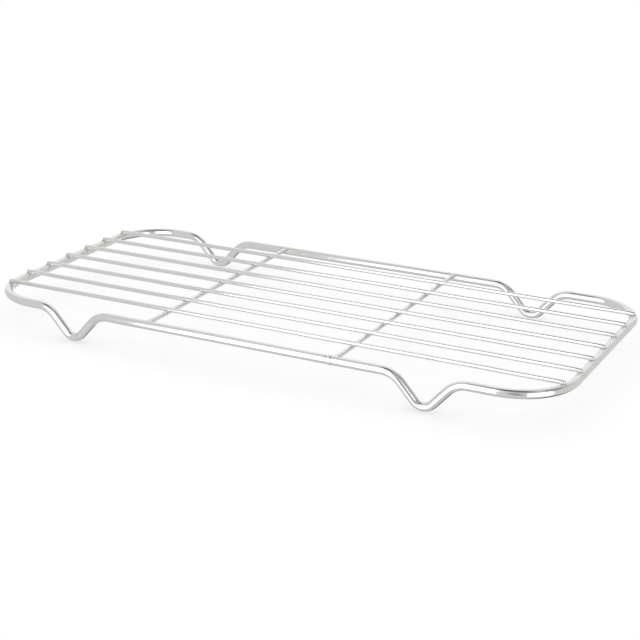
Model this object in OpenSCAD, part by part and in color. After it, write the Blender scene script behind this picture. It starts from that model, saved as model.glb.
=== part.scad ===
// Footed wire rack: a thick round frame wire with four bent feet, and a grid of thin wires on top.
// The frame lies level, long wires along X. The front long side (-Y) carries the frame's butt weld.
// The origin is under the middle of the rack, on the surface that the feet stand on.

/* [Frame wire] */
// Diameter of the thick wire that makes the frame and the feet
frame_wire_d = 4; // [3:0.5:5]
// Overall length of the frame
rack_length = 280; // [275:5:340]
// Overall width of the frame
rack_width = 133; // [126:1:160]
// Radius of the frame's corners, along the middle of the wire
corner_r = 25; // [15:1:29]

/* [Feet] */
// Distance between the two feet of one long side
foot_spacing = 172; // [150:1:180]
// Depth of a foot, from the middle of the frame wire to the middle of the wire at its bottom
foot_drop = 12.5; // [11:0.5:17]
// Slope of a foot's two legs
leg_slope = 48; // [40:1:60]
// Radius of the bend at a foot's bottom, along the middle of the wire
foot_bend_r = 5.5; // [4:0.5:8]
// Radius of the two bends where a foot leaves the frame
shoulder_bend_r = 11.5; // [8:0.5:14]

/* [Thin wires] */
// Diameter of the thin grid and cross wires
thin_wire_d = 2; // [1.5:0.1:2.5]
// Distance from one long grid wire to the next, counted from the frame's front side
grid_pitch = 15.7; // [14:0.1:16.5]
// Distance between the two cross wires
cross_spacing = 92; // [60:1:110]
// How far the feet and the cross wires sit to the left of the frame's middle
left_shift = 3; // [0:1:5]
// How deep one wire is pressed into another where they are welded
weld_depth = 0.3; // [0.2:0.05:0.4]

/* [Hidden] */
// Length and width between the middles of the frame wire
mid_length = rack_length - frame_wire_d;
mid_width = rack_width - frame_wire_d;
frame_r = frame_wire_d / 2;
thin_r = thin_wire_d / 2;

// Bending draws the wire thinner by this much, and straight stretches run this far into the bends
bend_thinning = 0.02;
bend_lap = 0.1;
bent_r = frame_r - bend_thinning;

// Heights of the wires' middles
frame_z = foot_drop + bent_r;
grid_z = frame_z + frame_r + thin_r - weld_depth;
cross_z = grid_z - thin_wire_d + weld_depth;

// A foot's half width, from its legs and its bends
leg_length = (foot_drop - (shoulder_bend_r + foot_bend_r) * (1 - cos(leg_slope))) / sin(leg_slope);
foot_half = (shoulder_bend_r + foot_bend_r) * sin(leg_slope) + leg_length * cos(leg_slope);
foot_left_x = -foot_spacing / 2 - left_shift;
foot_right_x = foot_spacing / 2 - left_shift;

// A thin wire's end stands this far past the middle of the frame wire that carries it
grid_overhang = 0.6;
// A cross wire stops this far short of the middle of the frame wire
cross_setback = 0.9;
cross_left_x = -cross_spacing / 2 - left_shift;
cross_right_x = cross_spacing / 2 - left_shift;

// The butt weld that closes the frame wire, just left of the right cross wire
weld_x = cross_right_x - 2.4;
weld_width = 1.9;
weld_height = 0.2;
weld_flank = 0.4;

steel = "silver";
$fn = 48;

// Place of a long grid wire, numbered from the front
function grid_y(number) = -mid_width / 2 + number * grid_pitch;

// Half length of a wire that lies at this y and ends on the frame's short side or corner
function reach_x(y) =
  let(into_corner = abs(y) - (mid_width / 2 - corner_r))
  mid_length / 2 - (into_corner > 0 ? corner_r - sqrt(corner_r * corner_r - into_corner * into_corner) : 0);

// A straight round wire along X
module wire_x(from_x, to_x, radius) {
  translate([from_x, 0, 0]) rotate([0, 90, 0]) cylinder(h = to_x - from_x, r = radius);
}

// A straight stretch of the frame wire along X, between two bends
module straight_x(from_x, to_x) {
  wire_x(from_x - bend_lap, to_x + bend_lap, frame_r);
}

// A bent stretch of the frame wire, in the XY plane, round the origin
module frame_bend(bend_r, from_angle, sweep) {
  rotate([0, 0, from_angle])
    rotate_extrude(angle = sweep) translate([bend_r, 0]) circle(r = bent_r);
}

// The same, in the XZ plane
module upright_bend(bend_r, from_angle, sweep) {
  rotate([90, 0, 0]) frame_bend(bend_r, from_angle, sweep);
}

// A foot's left shoulder, and its leg down to the bottom bend
module shoulder_and_leg() {
  leg_top_x = shoulder_bend_r * sin(leg_slope) - foot_half;
  leg_top_z = -shoulder_bend_r * (1 - cos(leg_slope));
  translate([-foot_half, 0, -shoulder_bend_r]) upright_bend(shoulder_bend_r, 90 - leg_slope, leg_slope);
  translate([leg_top_x, 0, leg_top_z])
    rotate([0, leg_slope, 0]) straight_x(0, leg_length);
}

module foot() {
  shoulder_and_leg();
  mirror([1, 0, 0]) shoulder_and_leg();
  translate([0, 0, foot_bend_r - foot_drop]) upright_bend(foot_bend_r, 270 - leg_slope, 2 * leg_slope);
}

// One long side of the frame, with its two feet, along X
module long_side() {
  corner_x = mid_length / 2 - corner_r;
  straight_x(-corner_x, foot_left_x - foot_half);
  translate([foot_left_x, 0, 0]) foot();
  straight_x(foot_left_x + foot_half, foot_right_x - foot_half);
  translate([foot_right_x, 0, 0]) foot();
  straight_x(foot_right_x + foot_half, corner_x);
}

// One end of the frame: a short side and its two corners
module short_end() {
  side_y = mid_width / 2 - corner_r;
  translate([mid_length / 2, 0, 0]) rotate([0, 0, 90]) straight_x(-side_y, side_y);
  translate([mid_length / 2 - corner_r, side_y, 0]) frame_bend(corner_r, 0, 90);
  translate([mid_length / 2 - corner_r, -side_y, 0]) frame_bend(corner_r, -90, 90);
}

// The raised ring of the butt weld, on a wire along X
module weld_ring() {
  translate([-weld_width / 2, 0, 0]) rotate([0, 90, 0]) {
    cylinder(h = weld_flank, r1 = frame_r - weld_height, r2 = frame_r + weld_height);
    translate([0, 0, weld_flank])
      cylinder(h = weld_width - 2 * weld_flank, r = frame_r + weld_height);
    translate([0, 0, weld_width - weld_flank])
      cylinder(h = weld_flank, r1 = frame_r + weld_height, r2 = frame_r - weld_height);
  }
}

module frame_body() {
  for (side = [-1, 1])
    translate([0, side * mid_width / 2, 0]) long_side();
  short_end();
  mirror([1, 0, 0]) short_end();
  translate([weld_x, -mid_width / 2, 0]) weld_ring();
}

module frame_wire() {
  color(steel) translate([0, 0, frame_z]) frame_body();
}

// The stretch of frame wire that the ends of the grid wires are welded to
module frame_ends() {
  translate([0, 0, frame_z]) {
    short_end();
    mirror([1, 0, 0]) short_end();
  }
}

// A cross wire before its ends are shaped to the frame
module cross_rod(x) {
  translate([x, 0, cross_z])
    rotate([90, 0, 0]) cylinder(h = mid_width - 2 * cross_setback, r = thin_r, center = true);
}

// One long thin wire with rounded ends, set into the frame and into the cross wires
module grid_wire(number) {
  y = grid_y(number);
  half = reach_x(y) + grid_overhang - thin_r;
  color(steel)
    difference() {
      translate([0, y, grid_z]) {
        wire_x(-half, half, thin_r);
        for (end = [-1, 1])
          translate([end * half, 0, 0]) sphere(r = thin_r);
      }
      frame_ends();
      cross_rod(cross_left_x);
      cross_rod(cross_right_x);
    }
}

// One cross wire, butted between the frame's long sides
module cross_wire(x) {
  color(steel)
    difference() {
      cross_rod(x);
      for (side = [-1, 1])
        translate([0, side * mid_width / 2, frame_z])
          wire_x(x - frame_wire_d, x + frame_wire_d, frame_r);
    }
}

frame_wire();
grid_wire(1);  // grid_wire_1
grid_wire(2);  // grid_wire_2
grid_wire(3);  // grid_wire_3
grid_wire(4);  // grid_wire_4
grid_wire(5);  // grid_wire_5
grid_wire(6);  // grid_wire_6
grid_wire(7);  // grid_wire_7
cross_wire(cross_left_x);  // cross_wire_left
cross_wire(cross_right_x);  // cross_wire_right
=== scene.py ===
import math

import bpy
import numpy as np
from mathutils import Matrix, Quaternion, Vector


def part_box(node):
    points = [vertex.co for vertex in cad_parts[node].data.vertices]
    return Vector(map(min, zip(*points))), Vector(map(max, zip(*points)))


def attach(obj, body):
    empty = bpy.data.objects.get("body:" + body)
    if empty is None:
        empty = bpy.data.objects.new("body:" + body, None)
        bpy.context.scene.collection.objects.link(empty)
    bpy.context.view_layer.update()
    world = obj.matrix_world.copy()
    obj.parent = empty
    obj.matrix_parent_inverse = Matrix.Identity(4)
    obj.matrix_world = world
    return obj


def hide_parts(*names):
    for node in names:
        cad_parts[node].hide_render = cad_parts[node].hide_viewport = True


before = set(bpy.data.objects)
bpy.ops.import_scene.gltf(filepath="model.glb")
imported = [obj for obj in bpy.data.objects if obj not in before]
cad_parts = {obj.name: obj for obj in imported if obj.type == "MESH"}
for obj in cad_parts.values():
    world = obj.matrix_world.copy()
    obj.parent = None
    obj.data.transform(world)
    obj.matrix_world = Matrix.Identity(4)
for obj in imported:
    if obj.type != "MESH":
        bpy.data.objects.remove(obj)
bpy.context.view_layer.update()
mm = 0.001


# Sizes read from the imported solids
frameLow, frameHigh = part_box("frame_wire")
crossBoxes = {side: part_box("cross_wire_" + side) for side in ("left", "right")}
gridNumbers = range(1, 8)
gridBoxes = {n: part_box("grid_wire_%d" % n) for n in gridNumbers}

thinRadius = (gridBoxes[4][1].z - gridBoxes[4][0].z) / 2
gridHeight = (gridBoxes[4][1].z + gridBoxes[4][0].z) / 2
crossPlaces = {side: (low.x + high.x) / 2 for side, (low, high) in crossBoxes.items()}
crossHeight = crossBoxes["left"][0].z + thinRadius
rackShift = (crossPlaces["left"] + crossPlaces["right"]) / 2      # the feet are off the middle too


# The frame wire is fed and bent like the real one
frameWire = {
    "radius": 2.0 * mm,
    "cornerRadius": 25.0 * mm,      # all bend radii are along the middle of the wire
    "footSpacing": 172.0 * mm,
    "footDrop": 12.5 * mm,
    "legSlope": 48.0,
    "shoulderRadius": 11.5 * mm,
    "footRadius": 5.5 * mm,
    "weldDepth": 0.3 * mm,          # how deep the thin wires are pressed into it
    "sides": 40,
    "stationGap": 2.0 * mm,
    "bendStep": 3.0,                # degrees from one station to the next
    "flattening": 0.11,             # how much a bend squeezes the round section
    "bendReach": 2.5 * mm,          # length over which that squeeze fades in
    "waver": 0.02 * mm,             # how far the wire wanders off its line
}

buttWeld = {
    "offset": -2.4 * mm,            # from the right cross wire
    "width": 1.9 * mm,
    "height": 0.22 * mm,
    "groove": 0.08 * mm,            # shallow groove on either side of the ring
    "grooveWidth": 0.3 * mm,
    "slant": 0.12 * mm,             # how far the ring strays round the wire
    "edge": 8,                      # how steep its edges are
    "body": 0.88,                   # where the edges are, as a share of half the width
    "grooveAt": 1.3,                # where a groove is, as a share of half the width
    "unevenness": (0.10, 0.06),     # of the ring's height round the wire, coarse and fine
    "fineGap": 0.1 * mm,
    "fineReach": 3.0 * mm,
}

midHalfX = frameHigh.x - frameWire["radius"]
midHalfY = frameHigh.y - frameWire["radius"]
frameHeight = gridHeight - thinRadius + frameWire["weldDepth"] - frameWire["radius"]
weldX = crossPlaces["right"] + buttWeld["offset"]


def feed(length, gap=None):
    return ("feed", length, gap or frameWire["stationGap"])


def bend(radius, degrees, plane):
    return ("bend", radius, degrees, plane)


def footMoves():
    slope = math.radians(frameWire["legSlope"])
    radii = frameWire["shoulderRadius"] + frameWire["footRadius"]
    leg = (frameWire["footDrop"] - radii * (1 - math.cos(slope))) / math.sin(slope)
    half = radii * math.sin(slope) + leg * math.cos(slope)
    down = bend(frameWire["shoulderRadius"], -frameWire["legSlope"], "upright")
    up = bend(frameWire["footRadius"], 2 * frameWire["legSlope"], "upright")
    return [down, feed(leg), up, feed(leg), down], half


def frameRoute():
    foot, footHalf = footMoves()
    radius = frameWire["cornerRadius"]
    cornerX = midHalfX - radius
    leftFoot = rackShift - frameWire["footSpacing"] / 2
    rightFoot = rackShift + frameWire["footSpacing"] / 2
    between = frameWire["footSpacing"] - 2 * footHalf
    toRightCorner = cornerX - rightFoot - footHalf
    toLeftCorner = leftFoot - footHalf + cornerX
    corner = bend(radius, 90, "flat")
    shortSide = feed(2 * (midHalfY - radius))
    reach = buttWeld["fineReach"]
    start = weldX - 2 * reach                      # the route starts just left of its own weld
    moves = [feed(reach), feed(2 * reach, buttWeld["fineGap"])]
    moves += [feed(rightFoot - footHalf - start - 3 * reach)] + foot
    moves += [feed(toRightCorner), corner, shortSide, corner, feed(toRightCorner)]
    moves += foot + [feed(between)] + foot
    moves += [feed(toLeftCorner), corner, shortSide, corner, feed(toLeftCorner)]
    moves += foot + [feed(start - leftFoot - footHalf)]
    return Vector((start, -midHalfY, frameHeight)), moves


def followRoute(start, moves):
    # Walks along the wire. Each station: place, direction, side, upward normal, curvature flat and upright
    place, along, side = start.copy(), Vector((1, 0, 0)), Vector((0, 1, 0))
    stations = [(place.copy(), along.copy(), side.copy(), 0.0, 0.0)]
    for move in moves:
        if move[0] == "feed":
            steps = max(1, math.ceil(move[1] / move[2]))
            for i in range(steps):
                place += along * (move[1] / steps)
                stations.append((place.copy(), along.copy(), side.copy(), 0.0, 0.0))
        else:
            radius, degrees, plane = move[1:]
            steps = math.ceil(abs(degrees) / frameWire["bendStep"])
            turn = math.radians(degrees / steps)
            normal = along.cross(side)
            for i in range(steps):
                toCentre = side if plane == "flat" else normal
                toCentre = toCentre * (1 if turn > 0 else -1)
                centre = place + toCentre * radius
                axis = normal if plane == "flat" else -side
                spin = Quaternion(axis, turn)
                place = centre + spin @ (place - centre)
                along, side, normal = spin @ along, spin @ side, spin @ normal
                flat = 1 / radius if plane == "flat" else 0.0
                upright = 1 / radius if plane != "flat" else 0.0
                stations.append((place.copy(), along.copy(), side.copy(), flat, upright))
    return stations


wander = {
    "lengths": (83 * mm, 47 * mm, 29 * mm),
    "fade": 30 * mm,                # a closed wire wanders less this near its start
}


def wavering(distance, seed, size):
    # A slow wander off the line, the same each run
    total = 0.0
    for i, length in enumerate(wander["lengths"]):
        total += math.sin(2 * math.pi * distance / length + seed * (2.1 + i)) / (i + 1)
    return size * total


def sweepWire(name, stations, sides, closed, sectionAt, waver, seed):
    # Lays a ring of points round each station. sectionAt gives the half width, half height and bulge
    count = len(stations) - 1 if closed else len(stations)
    run = [0.0]
    for i in range(1, len(stations)):
        run.append(run[-1] + (stations[i][0] - stations[i - 1][0]).length)
    angles = [2 * math.pi * k / sides for k in range(sides)]
    points = []
    for i in range(count):
        place, along, side = stations[i][:3]
        up = along.cross(side)
        fade = 1.0
        if closed:
            fade = min(1.0, run[i] / wander["fade"], (run[-1] - run[i]) / wander["fade"])
        offset = side * wavering(run[i], seed, waver * fade)
        offset += up * wavering(run[i], seed + 3, waver * fade)
        for angle in angles:
            wide, high, lift = sectionAt(i, run[i], angle)
            across, above = wide * math.cos(angle), high * math.sin(angle) + lift
            points.append(place + offset + side * across + up * above)
    faces, runs = [], []
    rings = count if closed else count - 1
    for i in range(rings):
        nextRing = (i + 1) % count
        for k in range(sides):
            n = (k + 1) % sides
            faces.append((i * sides + k, i * sides + n, nextRing * sides + n, nextRing * sides + k))
            runs.append(((i, k), (i, n), (i + 1, n), (i + 1, k)))
    if not closed:
        faces.append(tuple(range(sides - 1, -1, -1)))
        runs.append(tuple((0, k) for k in range(sides - 1, -1, -1)))
        last = (count - 1) * sides
        faces.append(tuple(range(last, last + sides)))
        runs.append(tuple((count - 1, k) for k in range(sides)))
    mesh = bpy.data.meshes.new(name)
    mesh.from_pydata(points, [], faces)
    mesh.shade_smooth()
    drawn = mesh.attributes.new("drawnRun", "FLOAT_VECTOR", "CORNER")
    values = []
    for corners in runs:
        for i, k in corners:
            angle = angles[k]
            values += [run[i] + seed, thinRadius * math.cos(angle), thinRadius * math.sin(angle)]
    drawn.data.foreach_set("vector", values)
    wire = bpy.data.objects.new(name, mesh)
    bpy.context.scene.collection.objects.link(wire)
    return wire


def smoothed(values, stations, reach):
    # Averages a per-station value over the wire's length, so that a bend starts gently
    run = [0.0]
    for i in range(1, len(stations)):
        run.append(run[-1] + (stations[i][0] - stations[i - 1][0]).length)
    run = np.array(run)
    values = np.array(values)
    weights = np.gradient(run)
    result = []
    for at in run:
        near = np.abs(run - at) < reach
        bell = (1 - (np.abs(run[near] - at) / reach)) * weights[near]
        result.append(float((values[near] * bell).sum() / bell.sum()))
    return result


def makeFrameWire():
    start, moves = frameRoute()
    stations = followRoute(start, moves)
    flat = smoothed([s[3] for s in stations], stations, frameWire["bendReach"])
    upright = smoothed([s[4] for s in stations], stations, frameWire["bendReach"])
    radius = frameWire["radius"]
    half = buttWeld["width"] / 2

    def sectionAt(i, distance, angle):
        squeezeSide = frameWire["flattening"] * radius * flat[i]
        squeezeUp = frameWire["flattening"] * radius * upright[i]
        bulge = 0.0
        fromWeld = distance - 2 * buttWeld["fineReach"]
        if abs(fromWeld) < buttWeld["fineReach"]:
            stray = fromWeld - buttWeld["slant"] * math.sin(2 * angle + 0.7)
            coarse, fine = buttWeld["unevenness"]
            uneven = coarse * math.sin(3 * angle + 1) + fine * math.sin(5 * angle + 2)
            height = buttWeld["height"] * (1 + uneven)
            bulge = height * math.exp(-abs(stray / (buttWeld["body"] * half)) ** buttWeld["edge"])
            besideRing = (abs(stray) - buttWeld["grooveAt"] * half) / buttWeld["grooveWidth"]
            bulge -= buttWeld["groove"] * math.exp(-besideRing ** 2)
        wide = radius * (1 - squeezeSide + squeezeUp / 2) + bulge
        high = radius * (1 - squeezeUp + squeezeSide / 2) + bulge
        return wide, high, 0.0

    wire = sweepWire("bentFrameWire", stations, frameWire["sides"], True, sectionAt, frameWire["waver"], 0.4)
    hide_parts("frame_wire")
    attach(wire, "root")
    print("frame wire: %d stations" % len(stations))
    return wire


thinWires = {
    "sides": 28,
    "stationGap": 2.5 * mm,
    "fineGap": 0.3 * mm,            # from one station to the next near the ends
    "fineStations": 13,
    "endStations": 8,
    "waver": 0.03 * mm,
    "endLength": 0.8 * mm,          # how far the rounded end reaches
    "endRoundness": 2.4,            # 2 makes half a ball, more is blunter
    "tip": 0.04 * mm,
    "pressedLength": 3.2 * mm,      # the stretch that the welding electrodes squeezed
    "pressed": 0.10,                # how much flatter that made it
    "pressedSpread": 0.8,           # how much of that it gained in width
    "pressedSink": 0.9,
    "flare": 0.22,                  # how much a cross wire thickens near its butted ends
    "flareAt": 0.9 * mm,
    "flareWidth": 1.1 * mm,
}


def thinStations(start, end, side):
    # Close stations at both ends, where the wire is pressed and rounded
    length = (end - start).length
    along = (end - start) / length
    endLength, endStations = thinWires["endLength"], thinWires["endStations"]
    near = [endLength * (1 - math.cos(math.pi / 2 * k / endStations)) for k in range(endStations + 1)]
    near += [endLength + thinWires["fineGap"] * k for k in range(1, thinWires["fineStations"] + 1)]
    middle = max(2, math.ceil((length - 2 * near[-1]) / thinWires["stationGap"]))
    places = near + [near[-1] + (length - 2 * near[-1]) * k / middle for k in range(1, middle)]
    places += [length - d for d in reversed(near)]
    return [(start + along * d, along, side, 0.0, 0.0) for d in places], places


def makeGridWire(number):
    low, high = gridBoxes[number]
    y = (low.y + high.y) / 2
    start, end = Vector((low.x, y, gridHeight)), Vector((high.x, y, gridHeight))
    stations, places = thinStations(start, end, Vector((0, 1, 0)))
    length = (end - start).length

    def sectionAt(i, distance, angle):
        fromEnd = min(places[i], length - places[i])
        rounded = min(1.0, fromEnd / thinWires["endLength"])
        size = math.sqrt(max(0.0, 1 - (1 - rounded) ** thinWires["endRoundness"])) * thinRadius
        size = max(size, thinWires["tip"])
        press = thinWires["pressed"] * max(0.0, 1 - fromEnd / thinWires["pressedLength"])
        sink = press * thinRadius * thinWires["pressedSink"]
        return size * (1 + press * thinWires["pressedSpread"]), size * (1 - press), -sink

    wire = sweepWire("gridWire%d" % number, stations, thinWires["sides"], False, sectionAt,
                     thinWires["waver"], 1.7 * number)
    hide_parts("grid_wire_%d" % number)
    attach(wire, "root")
    return wire


def makeCrossWire(side):
    low, high = crossBoxes[side]
    x = crossPlaces[side]
    start, end = Vector((x, low.y, crossHeight)), Vector((x, high.y, crossHeight))
    stations, places = thinStations(start, end, Vector((-1, 0, 0)))
    length = (end - start).length

    def sectionAt(i, distance, angle):
        fromEnd = min(places[i], length - places[i])
        fromFlare = (fromEnd - thinWires["flareAt"]) / thinWires["flareWidth"]
        size = thinRadius * (1 + thinWires["flare"] * math.exp(-fromFlare ** 2))
        return size, size, 0.0

    wire = sweepWire("crossWire" + side.capitalize(), stations, thinWires["sides"], False, sectionAt,
                     thinWires["waver"], 20 + x * 10)
    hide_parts("cross_wire_" + side)
    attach(wire, "root")
    return wire


weldMetal = {
    # half sizes of a drop along x, y and z
    "onShortSides": (1.35 * mm, 1.25 * mm, 0.42 * mm),
    "atCrossings": (1.12 * mm, 1.12 * mm, 0.30 * mm),
    "onLongSides": (1.35 * mm, 0.75 * mm, 0.85 * mm),
    "roughness": 0.10,              # how uneven a drop is
    "lumps": 6,
    "lumpScale": 3,
    "rings": 12,
    "sides": 20,
    "sunk": 0.35,                   # how far a drop is below the frame's top, of its half height
    "inward": 0.4 * mm,             # from the middle of the short side
    "underGrid": 0.15 * mm,
    "inset": 1.75 * mm,             # from the middle of the long side
    "underCross": 0.05 * mm,
    "heatReach": 3.2 * mm,          # how far round a weld the steel is tinted
}


def shortSideMiddle(y, end):
    # Where the middle of the frame wire is, at this y, on the short side or its corners
    radius = frameWire["cornerRadius"]
    past = max(0.0, abs(y) - (midHalfY - radius))
    return end * (midHalfX - radius + math.sqrt(radius ** 2 - past ** 2))


def gridMiddle(number):
    low, high = gridBoxes[number]
    return (low.y + high.y) / 2


def weldPlaces():
    frameTop = frameHeight + frameWire["radius"] - weldMetal["onShortSides"][2] * weldMetal["sunk"]
    meeting = crossHeight + thinRadius - weldMetal["underGrid"]
    shortSides, crossings, longSides = [], [], []
    for number in gridNumbers:
        y = gridMiddle(number)
        for end in (-1, 1):
            x = shortSideMiddle(y, end) - end * weldMetal["inward"]
            shortSides.append(Vector((x, y, frameTop)))
        for x in crossPlaces.values():
            crossings.append(Vector((x, y, meeting)))
    for side in (-1, 1):
        for x in crossPlaces.values():
            y = side * (midHalfY - weldMetal["inset"])
            longSides.append(Vector((x, y, crossHeight - weldMetal["underCross"])))
    return {"onShortSides": shortSides, "atCrossings": crossings, "onLongSides": longSides}


def makeWeldMetal(name, kind, places, seed):
    # Small uneven drops of metal, squeezed out where two wires were welded
    draw = np.random.default_rng(seed)
    points, faces = [], []
    rings, sides = weldMetal["rings"], weldMetal["sides"]
    for place in places:
        lumps = draw.uniform(-1, 1, (weldMetal["lumps"], 3))
        phases = draw.uniform(0, 2 * math.pi, weldMetal["lumps"])
        first = len(points)
        for i in range(rings + 1):
            fall = math.pi * i / rings
            for k in range(sides if 0 < i < rings else 1):
                turn = 2 * math.pi * k / sides
                level = math.sin(fall)
                out = Vector((level * math.cos(turn), level * math.sin(turn), math.cos(fall)))
                waves = [math.sin(weldMetal["lumpScale"] * out.dot(Vector(lump)) + phase)
                         for lump, phase in zip(lumps, phases)]
                size = 1 + weldMetal["roughness"] * 2 * sum(waves) / len(waves)
                points.append(place + Vector(a * b * size for a, b in zip(out, weldMetal[kind])))
        for i in range(rings):
            above = first if i == 0 else first + 1 + (i - 1) * sides
            below = first + 1 + i * sides
            for k in range(sides):
                n = (k + 1) % sides
                if i == 0:
                    faces.append((above, below + k, below + n))
                elif i == rings - 1:
                    faces.append((above + k, below, above + n))
                else:
                    faces.append((above + k, below + k, below + n, above + n))
    mesh = bpy.data.meshes.new(name)
    mesh.from_pydata(points, [], faces)
    mesh.shade_smooth()
    drops = bpy.data.objects.new(name, mesh)
    bpy.context.scene.collection.objects.link(drops)
    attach(drops, "root")
    print("weld metal %s: %d drops" % (kind, len(places)))
    return drops


def markWeldHeat(wire, places):
    # How much each point of the wire was heated by the welds near it
    points = np.array([v.co for v in wire.data.vertices])
    heat = np.zeros(len(points))
    for place in places:
        distance = np.linalg.norm(points - np.array(place), axis=1)
        heat = np.maximum(heat, np.exp(-(distance / weldMetal["heatReach"]) ** 2))
    wire.data.attributes.new("weldHeat", "FLOAT", "POINT").data.foreach_set("value", heat)


def newMaterial(name):
    material = bpy.data.materials.new(name)
    material.use_nodes = True
    nodes = material.node_tree.nodes
    nodes.clear()
    output = nodes.new("ShaderNodeOutputMaterial")
    return material, nodes, material.node_tree.links, output


def drawnSteel(name, look):
    # Polished drawn wire: fine lines along the wire, cloudy polish, faint differences in colour
    material, nodes, links, output = newMaterial(name)
    shader = nodes.new("ShaderNodeBsdfPrincipled")
    links.new(shader.outputs["BSDF"], output.inputs["Surface"])
    shader.inputs["Metallic"].default_value = 1.0
    shader.inputs["IOR"].default_value = 2.5
    place = nodes.new("ShaderNodeAttribute")
    place.attribute_name = "drawnRun"

    def noiseAt(stretch, scale, detail):
        spread = nodes.new("ShaderNodeVectorMath")
        spread.operation = "MULTIPLY"
        spread.inputs[1].default_value = stretch
        links.new(place.outputs["Vector"], spread.inputs[0])
        noise = nodes.new("ShaderNodeTexNoise")
        noise.inputs["Scale"].default_value = scale
        noise.inputs["Detail"].default_value = detail
        links.new(spread.outputs["Vector"], noise.inputs["Vector"])
        return noise.outputs["Fac"]

    lines = noiseAt((look["lineStretch"], 1.0, 1.0), look["lineScale"], 4.0)
    clouds = noiseAt((1.0, 1.0, 1.0), look["cloudScale"], 3.0)

    tint = nodes.new("ShaderNodeMix")
    tint.data_type = "RGBA"
    tint.inputs[6].default_value = (*look["darkSteel"], 1)
    tint.inputs[7].default_value = (*look["paleSteel"], 1)
    links.new(clouds, tint.inputs[0])
    heat = nodes.new("ShaderNodeAttribute")
    heat.attribute_name = "weldHeat"
    heated = nodes.new("ShaderNodeMath")
    heated.operation = "MULTIPLY"
    heated.inputs[1].default_value = look["heatShare"]
    links.new(heat.outputs["Fac"], heated.inputs[0])
    straw = nodes.new("ShaderNodeMix")
    straw.data_type = "RGBA"
    straw.inputs[7].default_value = (*look["heatedSteel"], 1)
    links.new(heated.outputs[0], straw.inputs[0])
    links.new(tint.outputs[2], straw.inputs[6])
    links.new(straw.outputs[2], shader.inputs["Base Color"])

    both = nodes.new("ShaderNodeMath")
    both.operation = "ADD"
    links.new(lines, both.inputs[0])
    links.new(clouds, both.inputs[1])
    rough = nodes.new("ShaderNodeMapRange")
    rough.inputs["From Min"].default_value = 0.6
    rough.inputs["From Max"].default_value = 1.4
    rough.inputs["To Min"].default_value = look["roughness"][0]
    rough.inputs["To Max"].default_value = look["roughness"][1]
    links.new(both.outputs[0], rough.inputs["Value"])
    dull = nodes.new("ShaderNodeMath")
    dull.operation = "MULTIPLY_ADD"
    dull.inputs[1].default_value = look["heatRoughness"]
    links.new(heat.outputs["Fac"], dull.inputs[0])
    links.new(rough.outputs[0], dull.inputs[2])
    links.new(dull.outputs[0], shader.inputs["Roughness"])

    bump = nodes.new("ShaderNodeBump")
    bump.inputs["Strength"].default_value = look["lineDepth"]
    bump.inputs["Distance"].default_value = look["lineHeight"]
    links.new(lines, bump.inputs["Height"])
    links.new(bump.outputs["Normal"], shader.inputs["Normal"])
    return material


frameFinish = {
    "darkSteel": (0.76, 0.755, 0.745),
    "paleSteel": (0.82, 0.815, 0.805),
    "roughness": (0.08, 0.17),
    "lineScale": 4000.0,
    "lineStretch": 0.02,            # the smaller, the longer the drawing lines
    "lineHeight": 0.02 * mm,
    "cloudScale": 260.0,
    "lineDepth": 0.07,
    "heatedSteel": (0.70, 0.685, 0.655),
    "heatShare": 0.7,
    "heatRoughness": 0.22,
}

thinFinish = {
    "darkSteel": (0.77, 0.77, 0.765),
    "paleSteel": (0.83, 0.83, 0.825),
    "roughness": (0.08, 0.17),
    "lineScale": 5000.0,
    "lineStretch": 0.02,
    "lineHeight": 0.02 * mm,
    "cloudScale": 320.0,
    "lineDepth": 0.07,
    "heatedSteel": (0.68, 0.675, 0.655),
    "heatShare": 0.6,
    "heatRoughness": 0.15,
}


weldMetalFinish = {
    "darkSteel": (0.40, 0.395, 0.385),
    "paleSteel": (0.70, 0.695, 0.68),
    "roughness": (0.22, 0.42),
    "lumpScale": 2500.0,
    "lumpStrength": 0.5,
    "lumpHeight": 0.05 * mm,
}


def weldSteel():
    # Duller and greyer than the wires, with fine lumps
    material, nodes, links, output = newMaterial("dullWeldSteel")
    shader = nodes.new("ShaderNodeBsdfPrincipled")
    links.new(shader.outputs["BSDF"], output.inputs["Surface"])
    shader.inputs["Metallic"].default_value = 1.0
    place = nodes.new("ShaderNodeTexCoord")
    noise = nodes.new("ShaderNodeTexNoise")
    noise.inputs["Scale"].default_value = weldMetalFinish["lumpScale"]
    links.new(place.outputs["Object"], noise.inputs["Vector"])
    tint = nodes.new("ShaderNodeMix")
    tint.data_type = "RGBA"
    tint.inputs[6].default_value = (*weldMetalFinish["darkSteel"], 1)
    tint.inputs[7].default_value = (*weldMetalFinish["paleSteel"], 1)
    links.new(noise.outputs["Fac"], tint.inputs[0])
    links.new(tint.outputs[2], shader.inputs["Base Color"])
    rough = nodes.new("ShaderNodeMapRange")
    rough.inputs["To Min"].default_value = weldMetalFinish["roughness"][0]
    rough.inputs["To Max"].default_value = weldMetalFinish["roughness"][1]
    links.new(noise.outputs["Fac"], rough.inputs["Value"])
    links.new(rough.outputs[0], shader.inputs["Roughness"])
    bump = nodes.new("ShaderNodeBump")
    bump.inputs["Strength"].default_value = weldMetalFinish["lumpStrength"]
    bump.inputs["Distance"].default_value = weldMetalFinish["lumpHeight"]
    links.new(noise.outputs["Fac"], bump.inputs["Height"])
    links.new(bump.outputs["Normal"], shader.inputs["Normal"])
    return material


studio = {
    "wall": 0.74,                   # brightness of the room round the rack, as the steel sees it
    "floorSize": 6.0,
    "floorColour": (0.82, 0.82, 0.82),
    "shadow": 0.84,                 # how bright the floor stays where it is half covered
    "shadowReach": 0.022,
    "covered": 0.5,                 # open share at which the shadow is full
    "shadowSamples": 32,
}

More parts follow.
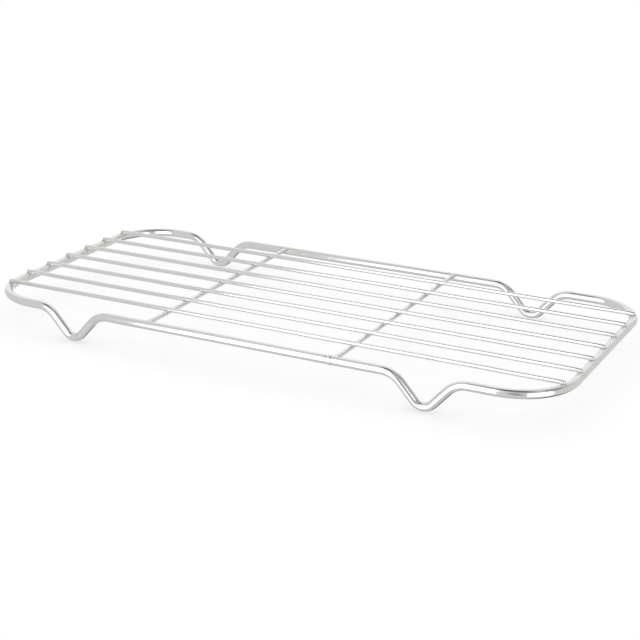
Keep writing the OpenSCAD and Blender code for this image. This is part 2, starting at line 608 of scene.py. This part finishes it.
# Soft patches of the room: azimuth from the front (+ towards +X), elevation, inner and outer
# half angle, all in degrees, and brightness
roomPatches = {
    "paperBelow": (-60, -84, 18, 52, 0.66),
    "backdrop": (-152, 24, 18, 48, 1.0),
    "backdropFoot": (-178, 4, 6, 20, 1.05),
    "ceiling": (0, 84, 9, 27, 0.12),
    "highRight": (38, 58, 6, 24, 0.40),
    "highFarRight": (112, 49, 7, 22, 0.26),
    "cameraGap": (24, -6, 10, 22, 0.52),
    "camera": (18, 18, 4, 17, 0.28),
    "darkNear": (152, -58, 7, 21, 0.05),
}

softPanels = {
    "softPanelLeft": {"middle": (-0.049, -0.246, 0.10), "faces": (0, 1, 0), "size": (0.238, 0.40),
                      "brightness": 1.45},
    "softPanelRight": {"middle": (0.52, -0.26, 0.0), "faces": (-0.9, 0.44, 0), "size": (0.38, 0.66),
                       "brightness": 1.50},
}

photoCamera = {
    "place": (0.296750, -0.577012, 0.234215),
    "target": (0.003740, -0.001375, 0.006202),
    "roll": 0.5155,                 # degrees
    "lens": 83.479,                 # millimetres, as the sensor's width
    "sensor": 36,
    "nearest": 0.01,
}


def makePanels():
    for name, panel in softPanels.items():
        light = bpy.data.lights.new(name, "AREA")
        light.shape = "RECTANGLE"
        light.size, light.size_y = panel["size"]
        light.energy = panel["brightness"] * math.pi * light.size * light.size_y
        lamp = bpy.data.objects.new(name, light)
        bpy.context.scene.collection.objects.link(lamp)
        lamp.location = panel["middle"]
        lamp.rotation_euler = Vector(panel["faces"]).to_track_quat("-Z", "Y").to_euler()
        lamp.visible_camera = False


def makeWorld():
    world = bpy.data.worlds.new("paleStudio")
    bpy.context.scene.world = world
    world.use_nodes = True
    nodes, links = world.node_tree.nodes, world.node_tree.links
    nodes.clear()
    output = nodes.new("ShaderNodeOutputWorld")
    direction = nodes.new("ShaderNodeTexCoord").outputs["Generated"]
    brightness = None
    for name, (azimuth, elevation, inner, outer, level) in roomPatches.items():
        turn, rise = math.radians(azimuth), math.radians(elevation)
        middle = nodes.new("ShaderNodeVectorMath")
        middle.operation = "DOT_PRODUCT"
        middle.name = name
        middle.inputs[1].default_value = (math.sin(turn) * math.cos(rise), -math.cos(turn) * math.cos(rise),
                                          math.sin(rise))
        links.new(direction, middle.inputs[0])
        fade = nodes.new("ShaderNodeMapRange")
        fade.interpolation_type = "SMOOTHSTEP"
        fade.inputs["From Min"].default_value = math.cos(math.radians(outer))
        fade.inputs["From Max"].default_value = math.cos(math.radians(inner))
        links.new(middle.outputs["Value"], fade.inputs["Value"])
        mix = nodes.new("ShaderNodeMix")
        mix.inputs[2].default_value = studio["wall"]
        mix.inputs[3].default_value = level
        links.new(fade.outputs[0], mix.inputs[0])
        if brightness:
            links.new(brightness, mix.inputs[2])
        brightness = mix.outputs[0]
    room = nodes.new("ShaderNodeBackground")
    links.new(brightness, room.inputs["Color"])
    backdrop = nodes.new("ShaderNodeBackground")
    backdrop.inputs["Color"].default_value = (1, 1, 1, 1)
    ray = nodes.new("ShaderNodeLightPath")
    mix = nodes.new("ShaderNodeMixShader")
    links.new(ray.outputs["Is Camera Ray"], mix.inputs[0])
    links.new(room.outputs[0], mix.inputs[1])
    links.new(backdrop.outputs[0], mix.inputs[2])
    links.new(mix.outputs[0], output.inputs["Surface"])


def makeFloor():
    half = studio["floorSize"] / 2
    mesh = bpy.data.meshes.new("paleFloor")
    corners = [(-half, -half, 0), (half, -half, 0), (half, half, 0), (-half, half, 0)]
    mesh.from_pydata(corners, [], [(0, 1, 2, 3)])
    floor = bpy.data.objects.new("paleFloor", mesh)
    bpy.context.scene.collection.objects.link(floor)
    material, nodes, links, output = newMaterial("palePaper")
    paper = nodes.new("ShaderNodeBsdfDiffuse")
    paper.inputs["Color"].default_value = (*studio["floorColour"], 1)
    # For the camera the paper is white, and greyer only where the rack keeps light off it
    shade = nodes.new("ShaderNodeAmbientOcclusion")
    shade.inputs["Distance"].default_value = studio["shadowReach"]
    shade.samples = studio["shadowSamples"]
    white = nodes.new("ShaderNodeMapRange")
    white.inputs["From Min"].default_value = studio["covered"]
    white.inputs["To Min"].default_value = studio["shadow"]
    links.new(shade.outputs["AO"], white.inputs["Value"])
    glow = nodes.new("ShaderNodeEmission")
    links.new(white.outputs[0], glow.inputs["Strength"])
    ray = nodes.new("ShaderNodeLightPath")
    seen = nodes.new("ShaderNodeMixShader")
    links.new(ray.outputs["Is Camera Ray"], seen.inputs[0])
    links.new(paper.outputs[0], seen.inputs[1])
    links.new(glow.outputs[0], seen.inputs[2])
    links.new(seen.outputs[0], output.inputs["Surface"])
    mesh.materials.append(material)
    floor.visible_glossy = False        # the steel sees the pale room in its place
    floor.visible_shadow = False


def makeCamera():
    data = bpy.data.cameras.new("photoCamera")
    data.lens = photoCamera["lens"]
    data.sensor_width = photoCamera["sensor"]
    data.clip_start = photoCamera["nearest"]
    camera = bpy.data.objects.new("photoCamera", data)
    bpy.context.scene.collection.objects.link(camera)
    camera.location = photoCamera["place"]
    look = Vector(photoCamera["target"]) - Vector(photoCamera["place"])
    aim = look.to_track_quat("-Z", "Y")
    spin = Quaternion(Vector((0, 0, 1)), math.radians(photoCamera["roll"]))
    camera.rotation_mode = "QUATERNION"
    camera.rotation_quaternion = aim @ spin
    bpy.context.scene.camera = camera


makeCamera()
makePanels()
makeWorld()
makeFloor()
bpy.context.scene.view_settings.view_transform = "Standard"
print("studio: %d lamps, %d patches" % (len(softPanels), len(roomPatches)))

frameSteel = drawnSteel("polishedFrameSteel", frameFinish)
thinSteel = drawnSteel("polishedThinSteel", thinFinish)
weldFinish = weldSteel()

welds = weldPlaces()
wires = [(makeFrameWire(), frameSteel)]
wires += [(makeGridWire(number), thinSteel) for number in gridNumbers]
print("grid wires: %d" % len(gridBoxes))
wires += [(makeCrossWire(side), thinSteel) for side in ("left", "right")]
print("cross wires: %d" % len(crossBoxes))
for wire, steel in wires:
    wire.data.materials.append(steel)
    markWeldHeat(wire, [place for places in welds.values() for place in places])
for seed, (kind, places) in enumerate(welds.items()):
    name = "weldMetal" + kind[0].upper() + kind[1:]
    makeWeldMetal(name, kind, places, seed + 5).data.materials.append(weldFinish)
